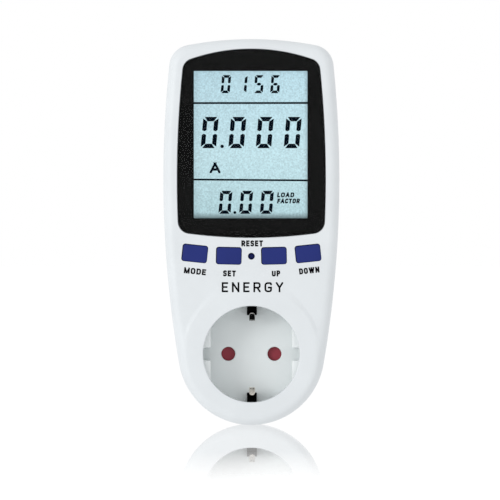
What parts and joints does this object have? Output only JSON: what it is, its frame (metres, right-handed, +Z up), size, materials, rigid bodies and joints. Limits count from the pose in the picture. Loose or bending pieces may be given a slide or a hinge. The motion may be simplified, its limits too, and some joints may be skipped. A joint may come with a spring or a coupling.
{
  "type": "plug-in power meter",
  "caption": "Upright plug-in energy meter with a tall display, a row of push buttons, a round earthed socket in front and a matching plug behind.",
  "frame": {"origin": "centre of the rear plug's face, on the axis of the plug and of the front socket", "axes": "+Y out of the plug's face into the wall, -Y towards the reader, +Z up the display, +X to the reader's right"},
  "size_m": [0.0722, 0.0794, 0.1583],
  "materials": {
    "housing_plastic": "satin",
    "socket_plastic": "satin",
    "lens_plastic": "polished",
    "mask_black": "printed",
    "lcd_glass": "satin",
    "button_blue": "satin",
    "black_plastic": "matte",
    "diffuser_plastic": "matte",
    "elastomer_grey": "matte",
    "board_green": "solder mask",
    "chip_black": "matte",
    "contact_brass": "satin",
    "nickel_plate": "satin",
    "steel_zinc": "zinc plated",
    "shutter_red": "satin",
    "carrier_plastic": "matte",
    "capacitor_yellow": "gloss",
    "sleeve_black": "gloss",
    "varistor_blue": "gloss",
    "label_film": "satin"
  },
  "bodies": {
    "meter": {"front_housing": "housing_plastic", "rear_housing": "housing_plastic", "rating_label": "label_film", "display_lens": "lens_plastic", "lens_mask": "mask_black", "lcd_panel": "lcd_glass", "lcd_holder": "black_plastic", "backlight_diffuser": "diffuser_plastic", "lcd_connector": "elastomer_grey", "display_board": "board_green", "display_screw_left": "steel_zinc", "display_screw_right": "steel_zinc", "controller_chip": "chip_black", "crystal": "nickel_plate", "backup_battery": "nickel_plate", "board_link": "black_plastic", "main_board": "board_green", "main_screw_left": "steel_zinc", "main_screw_right": "steel_zinc", "metering_chip": "chip_black", "film_capacitor": "capacitor_yellow", "electrolytic_capacitor": "sleeve_black", "varistor": "varistor_blue", "shunt_resistor": "contact_brass", "housing_screw_top_left": "steel_zinc", "housing_screw_top_right": "steel_zinc", "housing_screw_bottom_left": "steel_zinc", "housing_screw_bottom_right": "steel_zinc", "mode_switch": "black_plastic", "set_switch": "black_plastic", "up_switch": "black_plastic", "down_switch": "black_plastic", "reset_switch": "black_plastic", "socket_insert": "socket_plastic", "shutter_spring": "steel_zinc", "contact_carrier": "carrier_plastic", "line_contact": "contact_brass", "neutral_contact": "contact_brass", "line_pin": "nickel_plate", "neutral_pin": "nickel_plate", "line_busbar": "contact_brass", "neutral_busbar": "contact_brass", "pin_carrier": "carrier_plastic", "earth_strap": "contact_brass", "plug_earth_top": "nickel_plate", "plug_earth_bottom": "nickel_plate"},
    "mode_key": {"mode_button": "button_blue", "mode_plunger": "elastomer_grey"},
    "set_key": {"set_button": "button_blue", "set_plunger": "elastomer_grey"},
    "up_key": {"up_button": "button_blue", "up_plunger": "elastomer_grey"},
    "down_key": {"down_button": "button_blue", "down_plunger": "elastomer_grey"},
    "reset_key": {"reset_button": "button_blue", "reset_plunger": "elastomer_grey"},
    "shutter": {"socket_shutter": "shutter_red"},
    "clip_top": {"earth_clip_top": "nickel_plate"},
    "clip_bottom": {"earth_clip_bottom": "nickel_plate"}
  },
  "joints": [
    {"name": "mode_press", "type": "slide", "parent": "meter", "child": "mode_key", "axis": [0, 1, 0], "range_m": [0, 0.0005], "stiffness_N_per_m": 1500, "springref_m": -0.0002},
    {"name": "set_press", "type": "slide", "parent": "meter", "child": "set_key", "axis": [0, 1, 0], "range_m": [0, 0.0005], "stiffness_N_per_m": 1500, "springref_m": -0.0002},
    {"name": "up_press", "type": "slide", "parent": "meter", "child": "up_key", "axis": [0, 1, 0], "range_m": [0, 0.0005], "stiffness_N_per_m": 1500, "springref_m": -0.0002},
    {"name": "down_press", "type": "slide", "parent": "meter", "child": "down_key", "axis": [0, 1, 0], "range_m": [0, 0.0005], "stiffness_N_per_m": 1500, "springref_m": -0.0002},
    {"name": "reset_press", "type": "slide", "parent": "meter", "child": "reset_key", "axis": [0, 1, 0], "range_m": [0, 0.0005], "stiffness_N_per_m": 1500, "springref_m": -0.0002},
    {"name": "shutter_turn", "type": "hinge", "parent": "meter", "child": "shutter", "pos_m": [0, -0.0394, 0], "axis": [0, 1, 0], "range_deg": [0, 40], "stiffness_Nm_per_rad": 0.004, "springref_deg": -20.05},
    {"name": "clip_top_flex", "type": "hinge", "parent": "meter", "child": "clip_top", "pos_m": [0, -0.0398, 0.0166], "axis": [-1, 0, 0], "range_deg": [0, 16], "stiffness_Nm_per_rad": 0.2, "springref_deg": -2.86},
    {"name": "clip_bottom_flex", "type": "hinge", "parent": "meter", "child": "clip_bottom", "pos_m": [0, -0.0398, -0.0166], "axis": [1, 0, 0], "range_deg": [0, 16], "stiffness_Nm_per_rad": 0.2, "springref_deg": -2.86}
  ]
}
